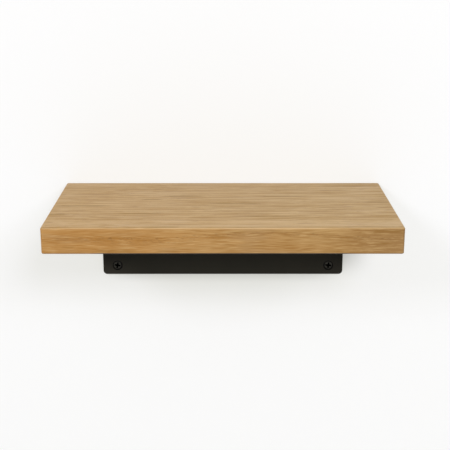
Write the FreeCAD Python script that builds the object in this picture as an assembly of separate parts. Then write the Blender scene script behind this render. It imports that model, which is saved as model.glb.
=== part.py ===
"""Floating wall shelf: one oak board on a folded steel bracket.

The bracket's wall leg is screwed flat to the wall with four countersunk
screws.  Its shelf leg carries the board, which is screwed down from below:
round holes near the wall fix it, slots near the front let the wood swell
and shrink across its grain.

Frame, in millimetres: +X along the wall, +Y into the wall, +Z up.  The
origin lies on the wall face, at the centre of the four wall screws.
"""

import FreeCAD, Part
import math
import os

from FreeCAD import Vector

# ---------------------------------------------------------------- sizes

# Oak board
board_length = 400.0          # along the wall
board_depth = 200.0           # out from the wall
board_thickness = 30.0
board_corner_radius = 3.0     # its four upright corners
board_arris_radius = 1.5      # its top and bottom edges, softened by hand
board_wall_gap = 0.5          # keeps the back edge off an uneven wall

# Folded steel bracket
sheet = 4.0                   # sheet thickness
fold_inside_radius = 4.0
wall_leg_height = 93.0        # from the board's underside to the lower edge
side_overhang = 43.0          # board past the bracket at each end
front_overhang = 50.0         # board past the shelf leg at the front
bracket_corner_radius = 5.0   # the free corners of both legs
bracket_edge_bevel = 0.6      # cut edges, broken before coating

# Wall screws, countersunk
wall_screw_radius = 2.5
wall_screw_length = 50.0      # over all
wall_head_radius = 5.0
wall_head_rim = 0.4           # short straight rim above the cone
wall_hole_clearance = 0.25    # on radius
wall_screw_from_end = 18.5    # from each end of the bracket
wall_screw_from_edge = 12.0   # lower pair, above the leg's lower edge
wall_screw_below_board = 25.0  # upper pair, under the board

# Board screws, pan head
board_screw_radius = 2.5
board_head_radius = 4.8
board_head_height = 3.2
board_hole_clearance = 0.25   # on radius, in round holes and across slots
board_screw_columns = 3
board_screw_from_end = 37.0   # outer columns, from each end of the bracket
back_row_from_wall = 30.0
front_row_from_edge = 25.0    # from the shelf leg's front edge
wood_over_tips = 9.0          # oak left above the screw points
pilot_clearance = 0.05        # on radius, between screw and oak
pilot_past_tip = 1.0          # drilled this much deeper than the point
slot_travel = 6.0             # how far a screw can shift along its slot

# Washers under the heads at the slots
washer_radius = 6.5
washer_thickness = 1.2

# Screw points and cross recesses
wall_point_length = 4.5
board_point_length = 2.5
recess_radius = 2.9           # from the axis to the end of a wing
recess_blade = 1.3            # width of a wing
recess_depth = 2.0
turn_step = 37.0              # degrees; no two screws stop at one angle

# -------------------------------------------------------- derived sizes

bracket_length = board_length - 2 * side_overhang
shelf_leg_depth = board_wall_gap + board_depth - front_overhang
fold_outside_radius = fold_inside_radius + sheet

wall_screw_pitch_x = bracket_length - 2 * wall_screw_from_end
wall_screw_pitch_z = wall_leg_height - wall_screw_below_board - wall_screw_from_edge

seat_z = wall_screw_pitch_z / 2 + wall_screw_below_board
wall_leg_bottom_z = seat_z - wall_leg_height
shelf_leg_under_z = seat_z - sheet

board_back_y = -board_wall_gap
board_front_y = board_back_y - board_depth

wall_head_cone = wall_head_radius - wall_screw_radius
board_screw_length = sheet + board_thickness - wood_over_tips

back_row_y = -back_row_from_wall
front_row_y = -shelf_leg_depth + front_row_from_edge
board_screw_span_x = bracket_length - 2 * board_screw_from_end

TOWARDS_WALL = Vector(0, 1, 0)
UP = Vector(0, 0, 1)


# -------------------------------------------------------------- helpers

def evenly_spaced(count, span):
    """Places along X, centred, with the first and last a span apart."""
    if count == 1:
        return [0.0]
    step = span / (count - 1)
    return [-span / 2 + i * step for i in range(count)]


def turned(points):
    """Solid of revolution about Z from (radius, height) points."""
    corners = [Vector(r, 0, z) for r, z in points]
    profile = Part.Face(Part.makePolygon(corners + corners[:1]))
    return profile.revolve(Vector(0, 0, 0), UP, 360)


def placed(shape, position, direction, turn=0.0):
    """The shape turned about its own Z, laid along direction and moved."""
    spin = FreeCAD.Rotation(UP, turn)
    aim = FreeCAD.Rotation(UP, direction)
    result = shape.copy()
    result.Placement = FreeCAD.Placement(position, aim.multiply(spin))
    return result


def middle_of(edge):
    """Point and direction half way along an edge."""
    parameter = (edge.FirstParameter + edge.LastParameter) / 2
    return edge.valueAt(parameter), edge.tangentAt(parameter)


def sharp_edges(shape):
    """Edges where two faces meet at an angle, not running on smoothly."""
    found = []
    for edge in shape.Edges:
        point, _ = middle_of(edge)
        faces = shape.ancestorsOfType(edge, Part.Face)
        normals = [face.normalAt(*face.Surface.parameter(point)) for face in faces]
        if normals[0].getAngle(normals[-1]) > math.radians(10):
            found.append(edge)
    return found


# ---------------------------------------------------------------- board

def make_board(screw_tips):
    """Oak board with softened edges and a pilot hole for each screw."""
    corner = Vector(-board_length / 2, board_front_y, seat_z)
    board = Part.makeBox(board_length, board_depth, board_thickness, corner)
    uprights = [edge for edge in board.Edges if abs(middle_of(edge)[1].z) > 0.99]
    board = board.makeFillet(board_corner_radius, uprights)
    board = board.makeFillet(board_arris_radius, sharp_edges(board))
    for x, y, tip_z in screw_tips:
        depth = tip_z + pilot_past_tip - seat_z
        radius = board_screw_radius + pilot_clearance
        board = board.cut(Part.makeCylinder(radius, depth, Vector(x, y, seat_z)))
    return board


# -------------------------------------------------------------- bracket

def bracket_section():
    """The folded sheet seen along the wall, as a face in the YZ plane."""
    half = math.sqrt(0.5)
    centre_y = -fold_outside_radius
    centre_z = seat_z - fold_outside_radius

    def on_fold(radius):
        return Vector(0, centre_y + radius * half, centre_z + radius * half)

    outer_wall = Vector(0, 0, centre_z)
    outer_shelf = Vector(0, centre_y, seat_z)
    inner_wall = Vector(0, -sheet, centre_z)
    inner_shelf = Vector(0, centre_y, shelf_leg_under_z)
    wall_back = Vector(0, 0, wall_leg_bottom_z)
    wall_front = Vector(0, -sheet, wall_leg_bottom_z)
    shelf_top = Vector(0, -shelf_leg_depth, seat_z)
    shelf_under = Vector(0, -shelf_leg_depth, shelf_leg_under_z)
    outline = [
        Part.LineSegment(wall_back, outer_wall),
        Part.Arc(outer_wall, on_fold(fold_outside_radius), outer_shelf),
        Part.LineSegment(outer_shelf, shelf_top),
        Part.LineSegment(shelf_top, shelf_under),
        Part.LineSegment(shelf_under, inner_shelf),
        Part.Arc(inner_shelf, on_fold(fold_inside_radius), inner_wall),
        Part.LineSegment(inner_wall, wall_front),
        Part.LineSegment(wall_front, wall_back),
    ]
    return Part.Face(Part.Wire([curve.toShape() for curve in outline]))


def make_bracket(wall_holes, round_holes, slots):
    """Folded angle with rounded corners, countersinks, holes and slots."""
    section = bracket_section()
    section.translate(Vector(-bracket_length / 2, 0, 0))
    bracket = section.extrude(Vector(bracket_length, 0, 0))

    corners = [edge for edge in bracket.Edges if is_free_corner(edge)]
    bracket = bracket.makeFillet(bracket_corner_radius, corners)
    bracket = bracket.makeChamfer(bracket_edge_bevel, sharp_edges(bracket))
    for x, z in wall_holes:
        bracket = bracket.cut(placed(countersink_tool(), Vector(x, 0, z), TOWARDS_WALL))
    for x, y in round_holes:
        bracket = bracket.cut(slot_tool(x, y, 0.0))
    for x, y in slots:
        bracket = bracket.cut(slot_tool(x, y, slot_travel))
    return bracket


def is_free_corner(edge):
    """True on the edges through the sheet at the legs' four free corners."""
    point, along = middle_of(edge)
    on_wall_leg = abs(along.y) > 0.99 and abs(point.z - wall_leg_bottom_z) < 0.01
    on_shelf_leg = abs(along.z) > 0.99 and abs(point.y + shelf_leg_depth) < 0.01
    return on_wall_leg or on_shelf_leg


def countersink_tool():
    """Cutter for a wall screw: 90 degree cone in front, plain bore behind.

    Local Z points to the wall and is zero on the wall face.  The cone is
    the one that the screw's own head has, carried on to the front face.
    """
    bore = wall_screw_radius + wall_hole_clearance
    return turned([
        (0, -sheet - 1),
        (wall_screw_radius + sheet + 1, -sheet - 1),
        (bore, -wall_hole_clearance),
        (bore, 1),
        (0, 1),
    ])


def slot_tool(x, y, travel):
    """Cutter through the shelf leg, long across the grain by the travel."""
    radius = board_screw_radius + board_hole_clearance
    low = shelf_leg_under_z - 1
    height = sheet + 2
    if travel == 0:
        return Part.makeCylinder(radius, height, Vector(x, y, low))
    near = Part.makeCylinder(radius, height, Vector(x, y + travel / 2, low))
    far = Part.makeCylinder(radius, height, Vector(x, y - travel / 2, low))
    middle = Part.makeBox(2 * radius, travel, height, Vector(x - radius, y - travel / 2, low))
    return near.fuse([far, middle]).removeSplitter()


# --------------------------------------------------------------- screws

def cross_recess(head_top):
    """Cutter for the driver's cross, down from the top of a head."""
    wings = []
    for angle in (0, 90):
        wing = Part.makeBox(2 * recess_radius, recess_blade, recess_depth)
        wing.translate(Vector(-recess_radius, -recess_blade / 2, head_top))
        wing.rotate(Vector(0, 0, 0), UP, angle)
        wings.append(wing)
    return wings[0].fuse(wings[1]).removeSplitter()


def wall_screw():
    """Countersunk screw along Z, its cone ending on the wall face at zero."""
    head_top = -wall_head_cone - wall_head_rim
    tip = head_top + wall_screw_length
    body = turned([
        (0, head_top),
        (wall_head_radius, head_top),
        (wall_head_radius, -wall_head_cone),
        (wall_screw_radius, 0),
        (wall_screw_radius, tip - wall_point_length),
        (0, tip),
    ])
    return body.cut(cross_recess(head_top))


def board_screw():
    """Pan-head screw along Z, its head's seat at zero."""
    tip = board_screw_length
    body = turned([
        (0, -board_head_height),
        (board_head_radius, -board_head_height),
        (board_head_radius, 0),
        (board_screw_radius, 0),
        (board_screw_radius, tip - board_point_length),
        (0, tip),
    ])
    return body.cut(cross_recess(-board_head_height))


def slot_washer():
    """Flat washer, its upper face at zero."""
    hole_radius = board_screw_radius + board_hole_clearance
    return turned([
        (hole_radius, -washer_thickness),
        (washer_radius, -washer_thickness),
        (washer_radius, 0),
        (hole_radius, 0),
    ])


# ------------------------------------------------------------- assembly

def build():
    """Every piece of the shelf by its name."""
    parts = {}
    wall_places = {
        "left_lower": (-wall_screw_pitch_x / 2, -wall_screw_pitch_z / 2),
        "right_lower": (wall_screw_pitch_x / 2, -wall_screw_pitch_z / 2),
        "left_upper": (-wall_screw_pitch_x / 2, wall_screw_pitch_z / 2),
        "right_upper": (wall_screw_pitch_x / 2, wall_screw_pitch_z / 2),
    }
    columns = evenly_spaced(board_screw_columns, board_screw_span_x)
    back_row = [(x, back_row_y) for x in columns]
    front_row = [(x, front_row_y) for x in columns]
    back_seat_z = shelf_leg_under_z
    front_seat_z = shelf_leg_under_z - washer_thickness

    tips = [(x, y, back_seat_z + board_screw_length) for x, y in back_row]
    tips += [(x, y, front_seat_z + board_screw_length) for x, y in front_row]
    parts["oak_board"] = make_board(tips)
    parts["folded_bracket"] = make_bracket(list(wall_places.values()), back_row, front_row)

    turn = turn_step
    for name, (x, z) in wall_places.items():
        parts["wall_screw_" + name] = placed(wall_screw(), Vector(x, 0, z), TOWARDS_WALL, turn)
        turn += turn_step
    for number, (x, y) in enumerate(back_row, start=1):
        name = "board_screw_back_%d" % number
        parts[name] = placed(board_screw(), Vector(x, y, back_seat_z), UP, turn)
        turn += turn_step
    for number, (x, y) in enumerate(front_row, start=1):
        name = "board_screw_front_%d" % number
        parts[name] = placed(board_screw(), Vector(x, y, front_seat_z), UP, turn)
        turn += turn_step
        washer_seat = Vector(x, y, shelf_leg_under_z)
        parts["slot_washer_%d" % number] = placed(slot_washer(), washer_seat, UP)
    return parts


os.makedirs("parts", exist_ok=True)
for node, shape in build().items():
    shape.exportStep("parts/" + node + ".step")
    box = shape.BoundBox
    print("%-26s solids %d valid %s  X %.2f..%.2f  Y %.2f..%.2f  Z %.2f..%.2f  %.2f cm3" % (
        node, len(shape.Solids), shape.isValid(),
        box.XMin, box.XMax, box.YMin, box.YMax, box.ZMin, box.ZMax, shape.Volume / 1000))
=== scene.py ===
# %% [markdown]
# # A floating wall shelf: one oak board on a folded black bracket
# The shelf is already built as solids: a board, a bracket folded from sheet
# steel, and the screws and washers that join them. This script never moves
# them. It gives the board and the bracket their finishes, models the small
# screws and washers again with the detail that a solid model leaves out, and
# sets up a plain studio.

# %% Load the solids
import math

import bmesh
import bpy
from mathutils import Matrix, Vector


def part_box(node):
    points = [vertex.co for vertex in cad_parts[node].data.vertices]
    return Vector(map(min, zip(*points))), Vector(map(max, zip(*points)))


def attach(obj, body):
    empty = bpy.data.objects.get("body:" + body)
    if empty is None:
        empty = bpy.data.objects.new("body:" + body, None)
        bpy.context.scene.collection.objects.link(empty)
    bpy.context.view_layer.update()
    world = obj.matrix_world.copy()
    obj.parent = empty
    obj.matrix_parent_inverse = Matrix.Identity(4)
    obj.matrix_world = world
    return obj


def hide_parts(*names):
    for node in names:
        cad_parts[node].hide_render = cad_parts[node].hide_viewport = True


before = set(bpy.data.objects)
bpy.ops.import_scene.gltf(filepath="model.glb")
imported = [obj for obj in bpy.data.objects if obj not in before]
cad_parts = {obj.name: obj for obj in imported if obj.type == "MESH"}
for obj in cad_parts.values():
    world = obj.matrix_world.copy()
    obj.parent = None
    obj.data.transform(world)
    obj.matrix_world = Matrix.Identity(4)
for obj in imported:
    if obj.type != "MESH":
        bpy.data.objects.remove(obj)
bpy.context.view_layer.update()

MM = 0.001
print("solids:", ", ".join(sorted(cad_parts)))

# %% [markdown]
# ## The camera
# A shelf is seen a little from above, so that the top shows as a thin band
# over the front edge.  A long lens from far away keeps the sides of the top
# from running together too fast.  Placing the camera by numbers rather than
# by a tracking constraint keeps the picture the same on every run.

# %% Place the camera
camera = bpy.data.objects.new("camera", bpy.data.cameras.new("camera"))
bpy.context.scene.collection.objects.link(camera)
bpy.context.scene.camera = camera

camera_place = Vector((0.0014, -1.2424, 0.4000))
camera_pitch_down = math.radians(16.741)
camera_turn_right = math.radians(0.061)
camera.data.sensor_width = 36.0
camera.data.lens = 79.75
camera.location = camera_place
camera.rotation_euler = (math.pi / 2 - camera_pitch_down, 0, -camera_turn_right)
print("camera", round(camera_place.length, 2), "m from the screws")

# %% [markdown]
# ## Writing shader maths as sums
# A wood finish needs dozens of small steps: scale this noise, take that mask
# away, mix two colours.  Wiring each step by hand hides the idea, so one
# small class wraps a node's output.  Writing `1 - mask` or `bands * 0.3` then
# adds the Math node, and `add` makes any other node: its type, its settings,
# then the value or the link of each socket.  Colours don't go through Math
# nodes, which would turn them grey; they are mixed.

# %% The socket class
class Socket:
    """A node's output; arithmetic on it adds Math nodes."""

    def __init__(self, tree, output=None):
        self.tree = tree
        self.output = output

    def plug(self, node, values):
        """Sets or links a node's inputs, given by name or by number."""
        for name, value in values.items():
            if isinstance(value, Socket):
                self.tree.links.new(value.output, node.inputs[name])
            else:
                node.inputs[name].default_value = value

    def add(self, kind, settings, values, output=0):
        """Any node: its type, its settings, then its inputs."""
        node = self.tree.nodes.new(kind)
        for name, setting in settings.items():
            setattr(node, name, setting)
        self.plug(node, values)
        return Socket(self.tree, node.outputs[output])

    def maths(self, operation, *terms):
        """A Math node on the given terms."""
        return self.add("ShaderNodeMath", {"operation": operation}, dict(enumerate(terms)))

    def at_least(self, other):
        return self.maths("MAXIMUM", self, other)

    def at_most(self, other):
        return self.maths("MINIMUM", self, other)

    def vector(self, operation, other=None, output=0):
        """Vector Math with another vector, or on this one alone."""
        values = {0: self} if other is None else {0: self, 1: other}
        return self.add("ShaderNodeVectorMath", {"operation": operation}, values, output)

    def __add__(self, other):
        return self.maths("ADD", self, other)

    def __sub__(self, other):
        return self.maths("SUBTRACT", self, other)

    def __rsub__(self, other):
        return self.maths("SUBTRACT", other, self)

    def __mul__(self, other):
        return self.maths("MULTIPLY", self, other)

    def __truediv__(self, other):
        return self.maths("DIVIDE", self, other)

    def __abs__(self):
        return self.maths("ABSOLUTE", self)

    __radd__ = __add__
    __rmul__ = __mul__


print("operators on sockets: + - * / and abs")

# %% [markdown]
# ## A few texture words
# Every finish here is a solid pattern: it is worked out from where a point
# lies in the object, not from a picture wrapped round it, so the grain on top
# runs over the edge and into the front as it does in a real board.  A few
# helpers say the usual things: noise of a given blob size, a soft step
# between two values, one colour laid over another, and a relief.

# %% Texture helpers
def start_material(name):
    """A new material, its shader node, and the object's coordinates."""
    material = bpy.data.materials.new(name)
    material.use_nodes = True
    shader = material.node_tree.nodes["Principled BSDF"]
    here = Socket(material.node_tree).add("ShaderNodeTexCoord", {}, {}, "Object")
    return material, shader, here


def stretched(place, sizes, turn=(0, 0, 0), shift=(0, 0, 0)):
    """Coordinates in which a box of these sizes, in metres, is one unit."""
    scale = tuple(1 / size for size in sizes)
    values = {"Vector": place, "Scale": scale, "Rotation": turn, "Location": shift}
    return place.add("ShaderNodeMapping", {}, values)


def noise(place, sizes, detail=2.0, roughness=0.5, shift=(0, 0, 0), output="Fac"):
    """Noise about 0.5 whose blobs have roughly these sizes."""
    values = {"Vector": stretched(place, sizes, shift=shift), "Scale": 1.0}
    values.update({"Detail": detail, "Roughness": roughness})
    return place.add("ShaderNodeTexNoise", {}, values, output)


def soft_step(value, start, end):
    """0 before start, 1 after end, and smooth between."""
    values = {"Value": value, "From Min": start, "From Max": end}
    return value.add("ShaderNodeMapRange", {"interpolation_type": "SMOOTHSTEP"}, values)


def lay_over(mask, under, over):
    """The under colour, with the over colour where the mask is 1."""
    return mask.add("ShaderNodeMix", {"data_type": "RGBA"}, {0: mask, 6: under, 7: over}, 2)


def part_of(vector, axis):
    """One coordinate of a vector."""
    return vector.add("ShaderNodeSeparateXYZ", {}, {0: vector}, axis)


def bumped(height, depth):
    """Surface normals of a relief this deep, in metres."""
    return height.add("ShaderNodeBump", {}, {"Height": height, "Distance": depth})


print("texture helpers ready, sizes in metres")

# %% [markdown]
# ## Oiled oak
# A board is a slice out of a log.  Year rings are cylinders round the pith,
# the log's centre line, and a slice shows them as lines where the saw ran
# across the rings and as wide, soft figures where it ran along them.  This
# board's pith lies in front of and above it, so the top gets straight narrow
# lines and the front edge a wider figure.  A painted stripe pattern would
# look right on one face only; rings in space look right on all six.

# %% Grain direction and year rings
oak, oak_shader, oak_here = start_material("oiled oak")

board_low, board_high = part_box("oak_board")
board_middle = (board_low + board_high) / 2
bracket_low, bracket_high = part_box("folded_bracket")
grain_turn = (0, math.radians(0.5), math.radians(-0.6))
on_board = oak_here.vector("ADD", tuple(-board_middle))
straight = stretched(on_board, (1, 1, 1), turn=grain_turn)


def bent(place, sizes, reach):
    """Coordinates pushed about across the grain by slow noise."""
    push = noise(place, sizes, detail=1.5, output="Color")
    push = push.vector("SUBTRACT", (0.5, 0.5, 0.5)).vector("MULTIPLY", reach)
    return place.vector("ADD", push)


near_grain = bent(straight, (0.05, 12 * MM, 9 * MM), (0, 0.8 * MM, 3.2 * MM))
grain = bent(near_grain, (0.30, 0.07, 0.07), (0, 16 * MM, 16 * MM))

pith = Vector((0, -0.26, 0.085))
ring_width = 8.0 * MM
to_pith = grain.vector("SUBTRACT", tuple(pith)).vector("MULTIPLY", (0, 1, 1))
ring_radius = to_pith.vector("LENGTH", output="Value")
ring_count = ring_radius / ring_width + noise(grain, (0.5, 0.05, 0.05), detail=1.0) * 3
ring_place = ring_count.maths("FRACT", ring_count)
early_wood = 1 - soft_step(ring_place, 0.04, 0.36)
print("year rings", round(ring_width / MM, 1), "mm wide")

# %% [markdown]
# Which way a face looks decides what the saw laid open.  On the flat faces it
# ran along the tubes and shows them as long, thin streaks.  On the narrow
# edges it met the rays, thin sheets of cells that run out from the pith, and
# their ends show as short dashes between soft blots.  On the two ends it cut
# the tubes across.  The object's own normal tells these faces apart, and also
# the softened arrises between them, which get a painted highlight above and
# painted shade below.

# %% Faces and places
facing = oak_here.add("ShaderNodeTexCoord", {}, {}, "Normal")
slope = part_of(facing, "Z")
upward = soft_step(slope, 0.30, 0.75)
# The arrises get a painted highlight above and painted shade below.
upper_arris = soft_step(slope, 0.05, 0.35) * soft_step(slope, 0.99, 0.90)
lower_arris = soft_step(slope, -0.03, -0.32) * soft_step(slope, -0.995, -0.96)
level = soft_step(abs(slope), 0.30, 0.75)
endward = soft_step(abs(part_of(facing, "X")), 0.5, 1.0)
edgeward = (1 - level) * (1 - endward)
along, across, above = (part_of(on_board, axis) for axis in "XYZ")
from_front = part_of(near_grain, "Y") + (board_high.y - board_low.y) / 2
print("board", round((board_high.x - board_low.x) / MM), "mm along the grain")

# %% [markdown]
# Every variation is stretched along the grain: broad bands, finer streaks and
# hair lines on the flat faces, blots and dashes on the edges.  They add up to
# one tone, from 0 for the deepest wood to 1 for the palest, and the porous
# early wood of each ring takes a little away from it.

# %% Tone of the flat faces and of the edges
bands = noise(grain, (0.20, 16 * MM, 8 * MM), detail=1.0)
streaks = noise(grain, (0.13, 2.3 * MM, 1.9 * MM), detail=2.0, roughness=0.55)
hairs = noise(grain, (0.055, 1.4 * MM, 1.0 * MM), detail=1.5)
blots = noise(near_grain, (0.09, 16 * MM, 14 * MM), detail=2.0, shift=(4, 7, 1))
dashes = noise(near_grain, (0.020, 1.6 * MM, 0.8 * MM), detail=1.0, shift=(9, 2, 6))

flat_tone = (bands - 0.5) * 0.9 + (streaks - 0.5) * 2.7 + (hairs - 0.5) * 2.3
edge_tone = (blots - 0.5) * 1.2 + (streaks - 0.5) * 0.5 + (dashes - 0.5) * 2.1
tone = edge_tone + (flat_tone - edge_tone) * level
tone = 0.58 + tone - early_wood * (0.1 + streaks * 0.5)
print("oak nodes for the tone:", len(oak.node_tree.nodes))

# %% [markdown]
# Near the right end a branch once grew past, so the grain of the edges is
# darker and unsettled there.  The sawn ends show what the log was: arcs of
# the year rings, crossed by pale rays that run out from the pith.  The rays
# are noise in coordinates that go round the pith and out from it, so they
# always cross the rings squarely.

# %% The branch side and the end grain
branch_side = soft_step(along, board_high.x - 90 * MM, board_high.x - 10 * MM) * (1 - level)
unsettled = noise(near_grain, (9 * MM, 4 * MM, 1.8 * MM), detail=2.0, shift=(1, 5, 3))
tone = tone + ((unsettled - 0.5) * 3.0 - 0.50) * branch_side

pith_angle = to_pith.maths("ARCTAN2", part_of(to_pith, "Z"), part_of(to_pith, "Y"))
polar = {0: along, 1: pith_angle * ring_radius, 2: ring_radius}
polar = to_pith.add("ShaderNodeCombineXYZ", {}, polar)
rays = soft_step(noise(polar, (0.05, 0.9 * MM, 16 * MM), detail=1.0), 0.50, 0.68)
end_tone = 0.78 - early_wood * 0.55 + rays * 0.40 + (bands - 0.5) * 0.8
tone = tone + (end_tone - tone) * endward
print("pith", round(abs(pith.y) / MM), "mm in front of the board's middle")

# %% [markdown]
# A few darker lines stand out, and light flecks show where a ray lies in the
# surface.  Where the saw opened the wide tubes of the spring growth there are
# pores, short dark dashes.  Cells of a Voronoi texture, stretched along the
# grain, give one dash each.

# %% Dark lines, flecks and pores
dark_lines = noise(grain, (0.11, 2.4 * MM, 0.9 * MM), detail=1.0, shift=(5, 3, 8))
dark_lines = soft_step(dark_lines, 0.60, 0.76)
flecks = noise(near_grain, (0.020, 2.4 * MM, 0.9 * MM), detail=1.0, shift=(2, 9, 4))
flecks = soft_step(flecks, 0.56, 0.72) * (1 - endward)

pore_size = (7 * MM, 0.42 * MM, 0.42 * MM)
cells = {"Vector": stretched(grain, pore_size), "Scale": 1.0}
pore_distance = grain.add("ShaderNodeTexVoronoi", {}, cells, "Distance")
pores = (1 - soft_step(pore_distance, 0.16, 0.34)) * early_wood
print("pores", round(pore_size[0] / MM, 1), "mm long")

# %% [markdown]
# Some marks are this board's own: a handful of dark streaks on the top and a
# few on the front edge.  Each is soft at its ends and its sides.  Their
# places are given from the middle of the board, along it and then across it,
# with half their length and half their width, all in millimetres.

# %% Streaks of this board alone
top_streaks = [
    (-50, 33.5, 27, 2.8), (72, 33.5, 34, 3.2), (-86, 19, 13, 2.6), (16, 1.2, 36, 2.8),
    (-96, -43, 27, 2.6), (53, -55, 42, 2.1), (-190, -46, 14, 2.6), (-165, -10, 34, 3.4),
    (-69, -96, 22, 2.4), (186, 7, 18, 2.4),
]
edge_streaks = [
    (15, 10.5, 13, 0.9), (-118, -11.5, 24, 2.2), (-170, -7.0, 8, 0.9), (182, 11.0, 24, 2.4),
    (120, -11.5, 14, 2.0), (176, -3.0, 12, 1.0), (-60, -11.5, 14, 1.2),
]


def within(place, middle, half):
    """1 near the middle, fading to 0 a little past half the width."""
    return 1 - soft_step(abs(place - middle * MM), half * 0.45 * MM, half * 1.2 * MM)


def strongest_streak(sideways, streak_list):
    """The strongest of some long soft marks at each point."""
    strongest = 0.0
    for middle, offset, half_length, half_width in streak_list:
        mark = within(along, middle, half_length) * within(sideways, offset, half_width)
        strongest = mark.at_least(strongest)
    return strongest


top_marks = strongest_streak(across, top_streaks) * upward
edge_marks = strongest_streak(above, edge_streaks) * edgeward
print("streaks of this board:", len(top_streaks), "and", len(edge_streaks))

# %% [markdown]
# The top also changes slowly from front to back.  A pale band follows the
# front of the top, with one dark line before it.  The back of the top is a
# shade deeper, a painted shade where the top loses its sheen near the wall,
# and the foot of the edges is darkened as painted shade under the board.  The
# soft step at the end bends the tone gently towards its two limits, so
# nothing is cut off flat.

# %% Slow changes across the board
def band(place, rise_start, rise_end, fall_start, fall_end):
    """1 between two soft limits that are given in millimetres."""
    rise = soft_step(place, rise_start * MM, rise_end * MM)
    return rise * (1 - soft_step(place, fall_start * MM, fall_end * MM))


pale_band = band(from_front, 4, 7, 22, 34)
front_line = band(from_front, 1.0, 2.5, 4.5, 6.5)
# Painted shade: the back of the top darkens near the wall, the foot of the edges under the board.
back_shade = soft_step(from_front, 100 * MM, 150 * MM)
foot_shade = soft_step(above, -4 * MM, -12 * MM) * edgeward
tone = tone + (pale_band * 0.40 - front_line * 0.22 - back_shade * 0.09) * upward
tone = soft_step(tone - foot_shade * 0.10, -0.1, 1.1)
print("oak nodes so far:", len(oak.node_tree.nodes))

# %% [markdown]
# The tone picks a colour between the deepest and the palest wood.  The top's
# pair of colours is painted paler and greyer than that of the edges, as
# painted sheen for the pale reflection on the top.  The left half holds warmer
# heartwood, and the right end, by the branch, is greyer.  These two masks are
# far wider than a streak, so they shift the hue without drawing a pattern.

# %% Base colours of the oak
pale_top = (0.524, 0.341, 0.147, 1)
pale_edge = (0.459, 0.275, 0.102, 1)
deep_top = (0.343, 0.184, 0.025, 1)
deep_edge = (0.293, 0.143, 0.031, 1)
heart_oak = (0.478, 0.198, 0.030, 1)
grey_oak = (0.375, 0.240, 0.115, 1)

# The top's paler, greyer pair of colours is painted sheen.
deepest = lay_over(upward, deep_edge, deep_top)
palest = lay_over(upward, pale_edge, pale_top)
oak_colour = lay_over(tone, deepest, palest)

heart = noise(grain, (0.11, 18 * MM, 9 * MM), shift=(7, 1, 3)) * 0.7 + 0.15
heart = soft_step(heart - along * 3.2, 0.0, 1.0)
oak_colour = lay_over(heart * (0.34 - upward * 0.24), oak_colour, heart_oak)
grey = noise(near_grain, (0.07, 16 * MM, 11 * MM), shift=(3, 8, 2))
grey = (soft_step(grey, 0.46, 0.68) * 0.8).at_least(branch_side * 0.7)
oak_colour = lay_over(grey * (0.38 - upward * 0.26), oak_colour, grey_oak)
print("palest wood", pale_top[:3], "deepest", deep_edge[:3])

# %% [markdown]
# Over that lie the marks, each with its strength and its colour.  Oil soaks
# deepest into the cut ends of the tubes, so the two ends turn a shade darker.
# Hands and cloths wear the upper arrises pale.  The lower ones stay dark, and
# nearly black above the bracket, where the coat has rubbed off on them.
# Gloss and relief follow the same masks: pores are rough and a little sunk,
# as on wood that was brushed before it was oiled.

# %% Marks, painted highlight and shade, gloss and relief of the oak
streak_oak = (0.215, 0.095, 0.004, 1)
mark_oak = (0.275, 0.142, 0.004, 1)
fleck_oak = (0.580, 0.380, 0.165, 1)
pore_oak = (0.120, 0.055, 0.014, 1)
arris_highlight_oak = (0.650, 0.470, 0.280, 1)
lower_arris_shade_oak = (0.024, 0.013, 0.005, 1)
over_bracket = 1 - soft_step(abs(along), bracket_high.x - 27 * MM, bracket_high.x - 7 * MM)

marks_and_painted_light = [
    (dark_lines * (0.25 + upward * 0.50), streak_oak),
    (top_marks * 0.84, mark_oak),
    (edge_marks * 0.38, streak_oak),
    (flecks * (0.50 - upward * 0.20), fleck_oak),
    (pores * 0.5, pore_oak),
    (endward * 0.06, streak_oak),
    # Painted highlight on the upper arrises.
    (upper_arris * 0.26, arris_highlight_oak),
    # Painted shade on the lower arrises, nearly black above the bracket.
    (lower_arris * (0.30 + over_bracket * 0.66), lower_arris_shade_oak),
]
for mask, colour in marks_and_painted_light:
    oak_colour = lay_over(mask, oak_colour, colour)

relief = streaks * 0.5 + hairs * 0.5 - pores * 0.9 - dark_lines * 0.2
oak_here.plug(oak_shader, {
    "Base Color": oak_colour,
    "Roughness": 0.43 + pores * 0.25 + (0.5 - streaks) * 0.15,
    "Specular IOR Level": 0.30,
    "Normal": bumped(relief, 0.12 * MM),
})
print("oak nodes:", len(oak.node_tree.nodes))

# %% [markdown]
# ## Black powder coat
# The bracket is sprayed with powder and baked.  The powder melts into a skin
# with a very fine orange-peel: soft dimples about a millimetre wide, with a
# sandy grain on top that makes the finish matt.  Two noises make that relief.
# The reflection is kept low, as on a structured coat, and the colour is not
# quite black.

# %% The coat's grain and colour
coat, coat_shader, coat_here = start_material("black powder coat")
dimples = noise(coat_here, (1.3 * MM,) * 3, detail=1.0)
sand = noise(coat_here, (0.28 * MM,) * 3, detail=1.0)
clouds = noise(coat_here, (0.06,) * 3, detail=3.0)
coat_tone = soft_step(sand * 0.6 + clouds * 0.4, 0.3, 0.7)
coat_colour = lay_over(coat_tone, (0.0128, 0.0119, 0.0086, 1), (0.0207, 0.0191, 0.0139, 1))
print("coat dimples 1.3 mm, grains 0.28 mm")

# %% [markdown]
# The coat is painted a shade paler low on the wall leg, most of all to the
# left, and deeper higher up towards both ends: painted light below and painted
# shade under the board.  The cones of the countersinks are painted dark, as
# shade in these recesses.  The four wall screws stand evenly round the origin,
# so absolute coordinates fold them onto one and a single mask serves all.

# %% Where the coat is painted lighter and darker
lit_coat_colour = (0.040, 0.036, 0.028, 1)
shaded_coat_colour = (0.004, 0.0037, 0.003, 1)
cone_shade_colour = (0.002, 0.002, 0.002, 1)

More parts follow.
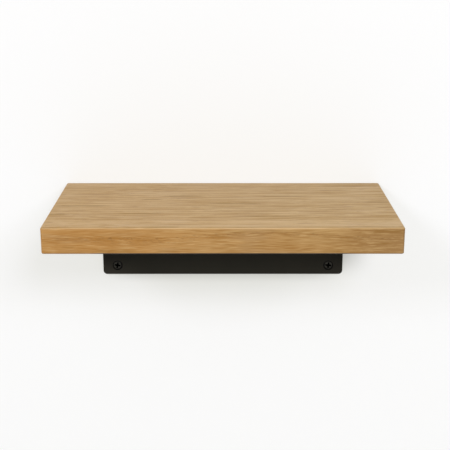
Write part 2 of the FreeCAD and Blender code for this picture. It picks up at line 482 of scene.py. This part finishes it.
lower_part = 1 - soft_step(part_of(coat_here, "Z"), bracket_low.z, bracket_low.z + 28 * MM)
along_wall = part_of(coat_here, "X")
to_left = 1 - soft_step(along_wall, bracket_low.x - 1 * MM, bracket_low.x + 62 * MM)
to_right = soft_step(along_wall, bracket_high.x - 32 * MM, bracket_high.x + 1 * MM)
# Painted light low on the wall leg, painted shade higher up under the board.
coat_light_mask = lower_part * (0.26 + to_left * 0.50 + to_right * 0.12)
coat_shade_mask = (1 - lower_part) * (to_left * 0.45 + to_right * 0.35)
coat_colour = lay_over(coat_light_mask, coat_colour, lit_coat_colour)
coat_colour = lay_over(coat_shade_mask, coat_colour, shaded_coat_colour)

cone_x = 138.1 * MM
cone_z = 27.7 * MM
IGNORE_DEPTH = (1, 1000, 1)
# Painted shade in the cones of the countersinks.
from_cone = stretched(coat_here.vector("ABSOLUTE"), IGNORE_DEPTH, shift=(-cone_x, 0, -cone_z))
cone = 1 - soft_step(from_cone.vector("LENGTH", output="Value"), 6.2 * MM, 6.8 * MM)
cone = cone * (1 - soft_step(part_of(coat_here, "Y"), -1.6 * MM, -0.9 * MM))
coat_here.plug(coat_shader, {
    "Base Color": lay_over(cone * 0.85, coat_colour, cone_shade_colour),
    "Roughness": 0.50 + sand * 0.16,
    "Specular IOR Level": 0.06,
    "Normal": bumped(dimples * 0.7 + sand * 0.3, 0.03 * MM),
})
print("cones darkened at", round(cone_x / MM, 1), "and", round(cone_z / MM, 1), "mm")

# %% [markdown]
# ## Blackened steel
# Black screws are steel with a thin oxide skin.  It still mirrors like metal,
# only much darker, and handling leaves it slightly uneven, so the gloss
# wanders while the colour stays.  Metallic is 1 and the base colour is the
# strength of the mirror.  Dirt and shadow fill a driver's recess, so the skin
# goes black and dull where the mesh has an attribute called "sunk".

# %% The finish of screws and washers
def blackened_steel(name, colour, gloss_size):
    """Dark oxide skin on steel, its sheen in patches of a given size."""
    steel, shader, here = start_material(name)
    patches = noise(here, (gloss_size,) * 3, detail=3.0, roughness=0.6)
    grit = noise(here, (0.25 * MM,) * 3, detail=1.0)
    brighter = tuple(part * 1.7 for part in colour)
    skin = lay_over(soft_step(patches, 0.3, 0.7), (*colour, 1), (*brighter, 1))
    sunk = here.add("ShaderNodeAttribute", {"attribute_name": "sunk"}, {}, "Fac")
    here.plug(shader, {
        "Base Color": lay_over(sunk * 0.95, skin, (0.001, 0.001, 0.001, 1)),
        "Metallic": 1.0,
        "Roughness": 0.34 + patches * 0.18 + sunk * 0.3,
        "Normal": bumped(grit, 0.01 * MM),
    })
    return steel


screw_steel = blackened_steel("black screw steel", (0.021, 0.020, 0.017), 3 * MM)
washer_steel = blackened_steel("black washer steel", (0.023, 0.022, 0.021), 2 * MM)
print("steels:", screw_steel.name, "and", washer_steel.name)

# %% [markdown]
# ## Dressing the board and the bracket
# Their solids already have the right shape, down to the softened arrises of
# the board and the bevelled edges of the sheet, so they only change material.

# %% Give the solids their finish
def finish_solid(node, material):
    """Puts a material in every slot of a solid's mesh."""
    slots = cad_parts[node].material_slots
    for slot in slots:
        slot.material = material
    print(node, "has", material.name)


finish_solid("oak_board", oak)
finish_solid("folded_bracket", coat)

# %% [markdown]
# ## Turned parts
# Screws and washers are turned or stamped round, so each starts as a few
# points in the XZ plane: half of its outline.  `spin` carries the outline
# round Z and leaves a skin.  The outline's open ends become round openings,
# which the next steps close, each with what the real part has there.  Two
# points nearer than `SAME_PLACE`, in metres, count as one.

# %% Spin an outline
AROUND = 48
SAME_PLACE = 1e-7
print("flats round a turned part:", AROUND)


def spin_outline(bm, outline):
    """Skin of revolution about Z through (radius, height) points."""
    points = [bm.verts.new((radius, 0, height)) for radius, height in outline]
    edges = [bm.edges.new(pair) for pair in zip(points, points[1:])]
    bmesh.ops.spin(
        bm, geom=points + edges, cent=(0, 0, 0), axis=(0, 0, 1), dvec=(0, 0, 0),
        angle=2 * math.pi, steps=AROUND, use_merge=True, use_duplicate=False)


def rim_at(bm, height):
    """The edges of an opening that lies level at this height."""
    return [
        edge for edge in bm.edges
        if not edge.is_manifold and all(abs(v.co.z - height) < SAME_PLACE for v in edge.verts)
    ]


# %% [markdown]
# ## The cross recess
# A driver's cross has four wings that get narrower and shorter with depth, so
# that the bit centres itself.  One wing is three edges; copies of it, turned
# a quarter each, meet in a closed cross.  The flat of the head is filled
# between that cross and the head's rim, and the cross is then drawn down
# level by level and closed at the bottom.  A level is given by its share of
# the depth and the share of the reach that is left there.  Every point that
# is drawn down gets the attribute "sunk", which darkens the steel there.

# %% Cut a cross into the top of a head
CROSS_LEVELS = ((0.12, 0.93), (0.55, 0.74), (1.0, 0.60))
print("levels of a cross:", len(CROSS_LEVELS))


def cut_cross(bm, height, reach, blade, depth):
    """Closes the opening at this height with a flat that has a cross in it."""
    rim = rim_at(bm, height)
    narrow = blade * 0.46
    wing = [(blade / 2, -blade / 2), (reach, -narrow), (reach, narrow), (blade / 2, blade / 2)]
    points = [bm.verts.new((x, y, height)) for x, y in wing]
    edges = [bm.edges.new(pair) for pair in zip(points, points[1:])]
    bmesh.ops.spin(
        bm, geom=points + edges, cent=(0, 0, 0), axis=(0, 0, 1), dvec=(0, 0, 0),
        angle=1.5 * math.pi, steps=3, use_merge=False, use_duplicate=True)
    cross = [edge for edge in bm.edges if not edge.link_faces]
    corners = list({v for edge in cross for v in edge.verts})
    bmesh.ops.remove_doubles(bm, verts=corners, dist=SAME_PLACE)
    cross = [edge for edge in bm.edges if not edge.link_faces]
    bmesh.ops.triangle_fill(bm, edges=rim + cross, use_beauty=True, normal=(0, 0, -1))

    sunk = bm.verts.layers.float.new("sunk")
    for share, shrink in CROSS_LEVELS:
        drawn = bmesh.ops.extrude_edge_only(bm, edges=cross)["geom"]
        floor = [item for item in drawn if isinstance(item, bmesh.types.BMVert)]
        for vert in floor:
            vert[sunk] = 1
        cross = [item for item in drawn if isinstance(item, bmesh.types.BMEdge)]
        size = shrink * reach / max(v.co.xy.length for v in floor)
        drop = height + share * depth - floor[0].co.z
        bmesh.ops.scale(bm, vec=(size, size, 1), verts=floor)
        bmesh.ops.translate(bm, vec=(0, 0, drop), verts=floor)
    bmesh.ops.edgeloop_fill(bm, edges=cross)


# %% [markdown]
# ## The thread
# A wood screw's thread is one ridge wound up the core.  Spinning the outline
# of a single ridge while it climbs one pitch each turn makes it: the end of
# every turn lands on the start of the next, and merging the doubles gives
# one skin.  Both ends are then cut level.  The ridge fades in over the first
# turn, and core and ridge run out together into the point.

# %% Wind a thread
THREAD_STEPS = 32
print("steps in each turn of a thread:", THREAD_STEPS)


def wind_thread(bm, core, crest, pitch, start, point_start, tip):
    """Threaded skin from start to tip, open at its start."""
    ridge = [(core, 0), (core, 0.50), (crest, 0.74), (crest, 0.80), (core, 1.0)]
    points = [bm.verts.new((r, 0, start + (share - 1) * pitch)) for r, share in ridge]
    edges = [bm.edges.new(pair) for pair in zip(points, points[1:])]
    turns = math.ceil((tip - start) / pitch) + 1
    bmesh.ops.spin(
        bm, geom=points + edges, cent=(0, 0, 0), axis=(0, 0, 1),
        dvec=(0, 0, pitch / THREAD_STEPS), angle=2 * math.pi * turns,
        steps=THREAD_STEPS * turns, use_merge=False, use_duplicate=False)
    bmesh.ops.remove_doubles(bm, verts=bm.verts, dist=1e-6)

    blunt = tip - 0.25 * MM
    for height, side in ((start, -1), (blunt, 1)):
        bmesh.ops.bisect_plane(
            bm, geom=bm.verts[:] + bm.edges[:] + bm.faces[:], dist=SAME_PLACE,
            plane_co=(0, 0, height), plane_no=(0, 0, side), clear_outer=True)
    for vert in bm.verts:
        radius = vert.co.xy.length
        fade_in = min(1, (vert.co.z - start) / pitch)
        run_out = min(1, (tip - vert.co.z) / (tip - point_start))
        wanted = (core + (radius - core) * fade_in) * run_out
        vert.co.xy *= wanted / radius
    bmesh.ops.edgeloop_fill(bm, edges=rim_at(bm, blunt))


# %% [markdown]
# ## Whole screws
# The head and the plain neck come from a spun outline, the rest from the
# thread, and `bridge_loops` joins the two openings.  The wall screws have the
# flat head and cone that sit in a countersink; the board screws have a domed
# pan head.  Z points the way the screw is driven and is zero where the solid
# model has it: at the end of the cone, or at the seat of the pan head.

# %% Model a screw
def make_screw(name, head, recess, thread):
    """A screw along Z; returns its mesh."""
    bm = bmesh.new()
    wind_thread(bm, **thread)
    threaded = rim_at(bm, thread["start"])
    spin_outline(bm, head)
    bmesh.ops.bridge_loops(bm, edges=threaded + rim_at(bm, head[-1][1]))
    cut_cross(bm, head[0][1], **recess)
    bmesh.ops.recalc_face_normals(bm, faces=bm.faces)
    open_edges = sum(not edge.is_manifold for edge in bm.edges)
    mesh = bpy.data.meshes.new(name)
    bm.to_mesh(mesh)
    bm.free()
    mesh.shade_smooth()
    mesh.set_sharp_from_angle(angle=math.radians(35))
    mesh.materials.append(screw_steel)
    print(name, "faces", len(mesh.polygons), "open edges", open_edges)
    return mesh


wall_cross = {"reach": 4.15 * MM, "blade": 2.5 * MM, "depth": 2.1 * MM}
wall_thread = {
    "core": 1.65 * MM, "crest": 2.48 * MM, "pitch": 2.8 * MM,
    "start": 16 * MM, "point_start": 42.0 * MM, "tip": 47.1 * MM,
}
flat_head = [
    (4.72 * MM, -2.90 * MM), (4.90 * MM, -2.85 * MM), (5.00 * MM, -2.74 * MM),
    (5.00 * MM, -2.52 * MM), (4.92 * MM, -2.40 * MM), (2.40 * MM, 0.10 * MM),
    (1.95 * MM, 0.80 * MM), (1.85 * MM, 1.80 * MM), (1.85 * MM, 15.2 * MM),
]
wall_screw_mesh = make_screw("countersunk_screw", flat_head, wall_cross, wall_thread)

board_cross = {"reach": 2.75 * MM, "blade": 1.25 * MM, "depth": 1.8 * MM}
board_thread = {
    "core": 1.65 * MM, "crest": 2.48 * MM, "pitch": 2.5 * MM,
    "start": 4.6 * MM, "point_start": 20.5 * MM, "tip": 25.0 * MM,
}
pan_head = [
    (3.05 * MM, -3.20 * MM), (3.60 * MM, -3.08 * MM), (4.15 * MM, -2.72 * MM),
    (4.55 * MM, -2.10 * MM), (4.76 * MM, -1.30 * MM), (4.80 * MM, -0.45 * MM),
    (4.72 * MM, -0.08 * MM), (4.55 * MM, 0.0), (1.95 * MM, 0.0),
    (1.80 * MM, 0.30 * MM), (1.80 * MM, 4.0 * MM),
]
board_screw_mesh = make_screw("pan_head_screw", pan_head, board_cross, board_thread)

# %% [markdown]
# ## Driving the screws home
# Each screw takes the place of the plain solid that the frame holds there.
# The solid's box says where: its middle is on the screw's axis, and its far
# end is the point.  The place goes into the mesh, so that the object itself
# stays at the origin.  No two crosses stop at the same angle.

# %% Put each screw in place
def put_in_place(node, name, mesh, to_place):
    """A copy of a mesh that takes over from a solid of the frame."""
    placed_mesh = mesh.copy()
    placed_mesh.transform(to_place)
    piece = bpy.data.objects.new(name, placed_mesh)
    bpy.context.scene.collection.objects.link(piece)
    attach(piece, "root")
    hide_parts(node)


INTO_WALL = Matrix.Rotation(-math.pi / 2, 4, "X")
wall_turns = {"left_lower": 10, "right_lower": 6, "left_upper": 52, "right_upper": 31}
for corner, turn in wall_turns.items():
    low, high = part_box("wall_screw_" + corner)
    middle = (low + high) / 2
    seat = Matrix.Translation((middle.x, high.y - wall_thread["tip"], middle.z))
    spun = Matrix.Rotation(math.radians(turn), 4, "Z")
    put_in_place("wall_screw_" + corner, "countersunk_screw_" + corner,
                 wall_screw_mesh, seat @ INTO_WALL @ spun)

board_rows = [row + "_%d" % number for row in ("back", "front") for number in (1, 2, 3)]
for number, spot in enumerate(board_rows):
    low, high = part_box("board_screw_" + spot)
    middle = (low + high) / 2
    seat = Matrix.Translation((middle.x, middle.y, high.z - board_thread["tip"]))
    spun = Matrix.Rotation(math.radians(17 + 37 * number), 4, "Z")
    put_in_place("board_screw_" + spot, "pan_head_screw_" + spot,
                 board_screw_mesh, seat @ spun)
print("screws placed:", len(wall_turns) + len(board_rows))

# %% [markdown]
# ## Stamped washers
# A washer is punched from sheet, which rounds the edges on one side and
# leaves them crisp on the other.  Its outline is a closed loop, so one spin
# gives a closed ring.

# %% Model and place the washers
washer_low, washer_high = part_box("slot_washer_1")
washer_outer = (washer_high.x - washer_low.x) / 2
washer_thick = washer_high.z - washer_low.z
washer_inner = 2.75 * MM
rounded = 0.3 * MM
stamped = [
    (washer_inner + rounded, -washer_thick), (washer_outer - rounded, -washer_thick),
    (washer_outer, rounded - washer_thick), (washer_outer, 0),
    (washer_inner, 0), (washer_inner, rounded - washer_thick),
]
ring = bmesh.new()
spin_outline(ring, stamped + stamped[:1])
bmesh.ops.remove_doubles(ring, verts=ring.verts, dist=SAME_PLACE)
bmesh.ops.recalc_face_normals(ring, faces=ring.faces)
washer_mesh = bpy.data.meshes.new("stamped_washer")
ring.to_mesh(washer_mesh)
ring.free()
washer_mesh.shade_smooth()
washer_mesh.set_sharp_from_angle(angle=math.radians(50))
washer_mesh.materials.append(washer_steel)
print("washer", round(2 * washer_outer / MM, 1), "mm across,", len(washer_mesh.polygons), "faces")

for number in (1, 2, 3):
    low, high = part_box("slot_washer_%d" % number)
    middle = (low + high) / 2
    seat = Matrix.Translation((middle.x, middle.y, high.z))
    put_in_place("slot_washer_%d" % number, "stamped_washer_%d" % number,
                 washer_mesh, seat)

# %% [markdown]
# ## The floor
# A pale floor lies well below the shelf.  Seen by the camera, straight, in a
# mirror or through glass, it glows a little, so that it meets the white of
# the room.  All other rays see matt paint that doesn't glow, a little uneven
# as a rolled floor is, so the floor adds no light of its own to the shelf.

# %% Flat sheets and the floor
NO_LIGHT = (0, 0, 0, 1)
WHITE = (1, 1, 1, 1)


def seen_as_backdrop(place):
    """1 where the camera sees a surface, straight, mirrored or through glass."""
    camera_ray, glossy_ray, clear_ray = (
        place.add("ShaderNodeLightPath", {}, {}, "Is %s Ray" % kind)
        for kind in ("Camera", "Glossy", "Transmission"))
    return (camera_ray + glossy_ray + clear_ray).at_most(1.0)


def make_sheet(name, low_corner, high_corner, material):
    """A flat rectangle between two corners."""
    bm = bmesh.new()
    bmesh.ops.create_grid(bm, x_segments=1, y_segments=1, size=0.5)
    mesh = bpy.data.meshes.new(name)
    bm.to_mesh(mesh)
    bm.free()
    sheet = bpy.data.objects.new(name, mesh)
    bpy.context.scene.collection.objects.link(sheet)
    low, high = Vector(low_corner), Vector(high_corner)
    upright = high.y == low.y
    if upright:
        mesh.transform(Matrix.Rotation(math.pi / 2, 4, "X"))
    size = [max(side, 1e-3) for side in high - low]
    mesh.transform(Matrix.Diagonal((*size, 1)))
    mesh.transform(Matrix.Translation((low + high) / 2))
    mesh.materials.append(material)
    return sheet


floor_height = -1.2
floor_paint, floor_shader, floor_here = start_material("pale floor")
rolled = noise(floor_here, (0.4, 0.4, 0.4), detail=2.0)
floor_here.plug(floor_shader, {
    "Base Color": lay_over(rolled, (0.891, 0.891, 0.8811, 1), (0.90, 0.90, 0.89, 1)),
    "Roughness": 0.9,
    "Specular IOR Level": 0.0,
    "Emission Color": lay_over(seen_as_backdrop(floor_here), NO_LIGHT, WHITE),
    "Emission Strength": 0.38,
})
make_sheet("studio_floor", (-20, -20, floor_height), (20, 20, floor_height), floor_paint)
print("floor", -floor_height, "m below the screws")

# %% [markdown]
# ## The wall
# A shelf without its wall would hang in the air.  This wall stands right
# behind the bracket and catches the shelf's shadow.  Over half of its light
# is a glow of its own, so the shadow stays as pale as in a bright room.  Lamps
# this soft leave out the last deep shade of a corner, so a soft mask lays it
# on: beside the bracket's right end, and just under the bracket.

# %% The wall's paint and shade
wall_paint, wall_shader, wall_here = start_material("pale wall")
nook_height = 10 * MM


def fading(axis, line, start, end):
    """1 near a line on the wall, fading out away from it on both sides."""
    return 1 - soft_step(abs(part_of(wall_here, axis) - line), start, end)


nook_shade = fading("X", bracket_high.x, -12 * MM, 48 * MM)
nook_shade = nook_shade * fading("Z", nook_height, 20 * MM, 60 * MM)
lower_shade = fading("X", 0, bracket_high.x - 47 * MM, bracket_high.x + 8 * MM)
lower_shade = lower_shade * fading("Z", bracket_low.z, -1 * MM, 15 * MM)
shade = (nook_shade * 0.36).at_least(lower_shade * 0.17)
wall_here.plug(wall_shader, {
    "Base Color": lay_over(shade, (0.35, 0.35, 0.41, 1), NO_LIGHT),
    "Roughness": 0.9,
    "Specular IOR Level": 0.0,
    "Emission Color": lay_over(shade, (1, 1, 0.87, 1), NO_LIGHT),
    "Emission Strength": 0.545,
})
print("wall nodes:", len(wall_paint.node_tree.nodes))

# %% [markdown]
# The wall is there for the camera alone, and only from the front.  From
# behind it is clear, so that the back of the shelf can be seen, and it takes
# no light from the sides that touch it.

# %% Stand the wall behind the bracket
behind = wall_here.add("ShaderNodeNewGeometry", {}, {}, "Backfacing")
clear = wall_here.add("ShaderNodeBsdfTransparent", {}, {})
painted = Socket(wall_here.tree, wall_shader.outputs[0])
one_sided = wall_here.add("ShaderNodeMixShader", {}, {0: behind, 1: painted, 2: clear})
wall_here.plug(wall_here.tree.nodes["Material Output"], {"Surface": one_sided})

wall_place = 0.4 * MM
wall = make_sheet("studio_wall", (-5, wall_place, floor_height), (5, wall_place, 3), wall_paint)
wall.visible_diffuse = False
wall.visible_glossy = False
wall.visible_transmission = False
wall.visible_shadow = False
print("wall", round(wall_place / MM, 1), "mm behind the bracket")

# %% [markdown]
# ## The room
# Most of the light comes evenly from all round, as in a white room, and it is
# the world's.  Light Path tells the two uses of the world apart: what the
# camera sees of it is plain white, whatever the lamps do, and what lights the
# shelf is dimmer, so that the lamps still model its form.

# %% The world's light
world = bpy.data.worlds.new("room")
bpy.context.scene.world = world
world.use_nodes = True
room = Socket(world.node_tree)
room_light = {"Color": (1.0, 1.0, 0.99, 1), "Strength": 0.60}
room_light = room.add("ShaderNodeBackground", {}, room_light)
white = room.add("ShaderNodeBackground", {}, {"Color": WHITE, "Strength": 0.97})
sky = room.add("ShaderNodeMixShader", {}, {0: seen_as_backdrop(room), 1: room_light, 2: white})
room.plug(world.node_tree.nodes["World Output"], {"Surface": sky})
print("room nodes:", len(world.node_tree.nodes))

# %% [markdown]
# ## Lamps
# Two soft square lamps stand a little to the left of the front: a low one,
# like a window, lights the front edge, and a high one, like a skylight, the
# top.  Three more, further off, light the wall alone, so that the soft shadow
# on it can be set by itself.  Light linking keeps the two groups apart.

# %% Hang the lamps
def hang_lamp(name, azimuth, elevation, distance, size, watts):
    """A square lamp aimed at the shelf; azimuth 0 is straight in front."""
    lamp = bpy.data.lights.new(name, "AREA")
    lamp.shape = "SQUARE"
    lamp.size = size
    lamp.energy = watts
    holder = bpy.data.objects.new(name, lamp)
    bpy.context.scene.collection.objects.link(holder)
    turn, lift = math.radians(azimuth), math.radians(elevation)
    level_part = math.cos(lift)
    away = Vector((math.sin(turn) * level_part, -math.cos(turn) * level_part, math.sin(lift)))
    holder.location = away * distance
    holder.rotation_euler = away.to_track_quat("Z", "Y").to_euler()
    holder.visible_camera = False
    return holder


def link_lamp(holder, name, piece, state):
    """Lets a lamp light one piece alone ("INCLUDE"), or spare it ("EXCLUDE")."""
    choice = bpy.data.collections.new(name)
    choice.objects.link(piece)
    holder.light_linking.receiver_collection = choice
    choice.collection_objects[0].light_linking.link_state = state


shelf_lamps = {"window": (20, 0.5, 15.6), "skylight": (55, 1.2, 22.0)}
for name, (elevation, size, watts) in shelf_lamps.items():
    lamp = hang_lamp(name, -15, elevation, 2.5, size, watts)
    link_lamp(lamp, name + " on all but the wall", wall, "EXCLUDE")

wall_lamps = {"left_fill": (-35, 44), "front_fill": (15, 51), "right_fill": (35, 31)}
for name, (azimuth, watts) in wall_lamps.items():
    lamp = hang_lamp(name, azimuth, 28, 4.0, 0.8, watts)
    link_lamp(lamp, name + " on the wall", wall, "INCLUDE")

bpy.context.scene.view_settings.view_transform = "Standard"
print("lamps:", ", ".join([*shelf_lamps, *wall_lamps]))
